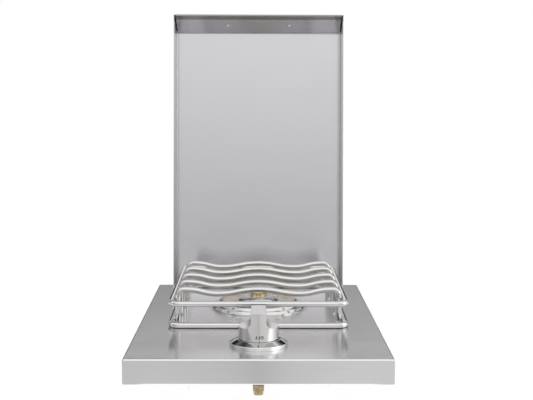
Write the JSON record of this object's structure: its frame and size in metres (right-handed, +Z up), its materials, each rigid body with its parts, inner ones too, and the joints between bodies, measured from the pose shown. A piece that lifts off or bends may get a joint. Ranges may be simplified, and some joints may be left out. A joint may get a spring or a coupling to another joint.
{
  "type": "built-in side burner",
  "caption": "Drop-in gas side burner: folded steel deck with push-and-turn knob, ring burner, lift-off rod grate and hinged fold-back lid.",
  "frame": {"origin": "centre of the deck's foot, on the counter surface", "axes": "+Z up, -Y towards the cook (knob side), +X to the cook's right"},
  "size_m": [0.3302, 0.6055, 0.5293],
  "materials": {
    "deck_steel": "brushed",
    "lid_steel": "brushed",
    "box_steel": "bright",
    "plinth_steel": "satin",
    "dish_steel": "satin",
    "tube_steel": "satin",
    "fastener_steel": "satin",
    "rod_chrome": "polished",
    "knob_chrome": "satin",
    "bezel_chrome": "polished",
    "flame_brass": "satin",
    "valve_brass": "satin",
    "casting_iron": "rough",
    "ceramic_white": "glossy",
    "module_plastic": "matte"
  },
  "bodies": {
    "housing": {"deck_pan": "deck_steel", "burner_plinth": "plinth_steel", "plinth_screws": "fastener_steel", "bezel": "bezel_chrome", "bezel_screws": "fastener_steel", "valve_bonnet": "valve_brass", "gas_valve_body": "valve_brass", "orifice_spud": "valve_brass", "inlet_fitting": "valve_brass", "igniter_module": "module_plastic", "mixing_tube": "tube_steel", "burner_base": "casting_iron", "igniter_insulator": "ceramic_white", "igniter_electrode": "fastener_steel", "igniter_bracket": "tube_steel", "igniter_screw": "fastener_steel", "burner_screws": "fastener_steel", "burner_box": "box_steel", "burner_strap": "tube_steel", "strap_rivets": "fastener_steel", "hinge_bracket_right": "deck_steel", "hinge_bracket_left": "deck_steel", "bracket_rivets": "fastener_steel", "hinge_pins": "fastener_steel", "hinge_washers": "fastener_steel", "hinge_clips": "fastener_steel"},
    "lid": {"lid_pan": "lid_steel", "lid_handle": "lid_steel", "handle_screws": "fastener_steel"},
    "push_sleeve": {"push_sleeve": "fastener_steel"},
    "knob": {"knob": "knob_chrome", "knob_insert": "fastener_steel", "valve_stem": "fastener_steel"},
    "grate": {"grate_lower_frame": "rod_chrome", "grate_upper_frame": "rod_chrome", "grate_rods": "rod_chrome"},
    "burner_caps": {"burner_ring": "flame_brass", "burner_dome": "dish_steel", "burner_head": "flame_brass"},
    "air_shutter": {"air_shutter": "tube_steel"}
  },
  "joints": [
    {"name": "lid_hinge", "type": "hinge", "parent": "housing", "child": "lid", "pos_m": [0, 0.2513, 0.01675], "axis": [-1, 0, 0], "range_deg": [-95.5, 0]},
    {"name": "knob_push", "type": "slide", "parent": "housing", "child": "push_sleeve", "axis": [0, 0, 1], "range_m": [-0.003, 0], "stiffness_N_per_m": 2000, "springref_m": 0.004},
    {"name": "knob_turn", "type": "hinge", "parent": "push_sleeve", "child": "knob", "pos_m": [0, -0.1696, 0.05], "axis": [0, 0, 1], "range_deg": [0, 210]},
    {"name": "grate_lift", "type": "slide", "parent": "housing", "child": "grate", "axis": [0, 0, 1], "range_m": [0, 0.12]},
    {"name": "burner_cap_lift", "type": "slide", "parent": "housing", "child": "burner_caps", "axis": [0, 0, 1], "range_m": [0, 0.014]},
    {"name": "air_shutter_turn", "type": "hinge", "parent": "housing", "child": "air_shutter", "pos_m": [0, -0.14, -0.004], "axis": [0, 1, 0], "range_deg": [-25, 55]}
  ]
}
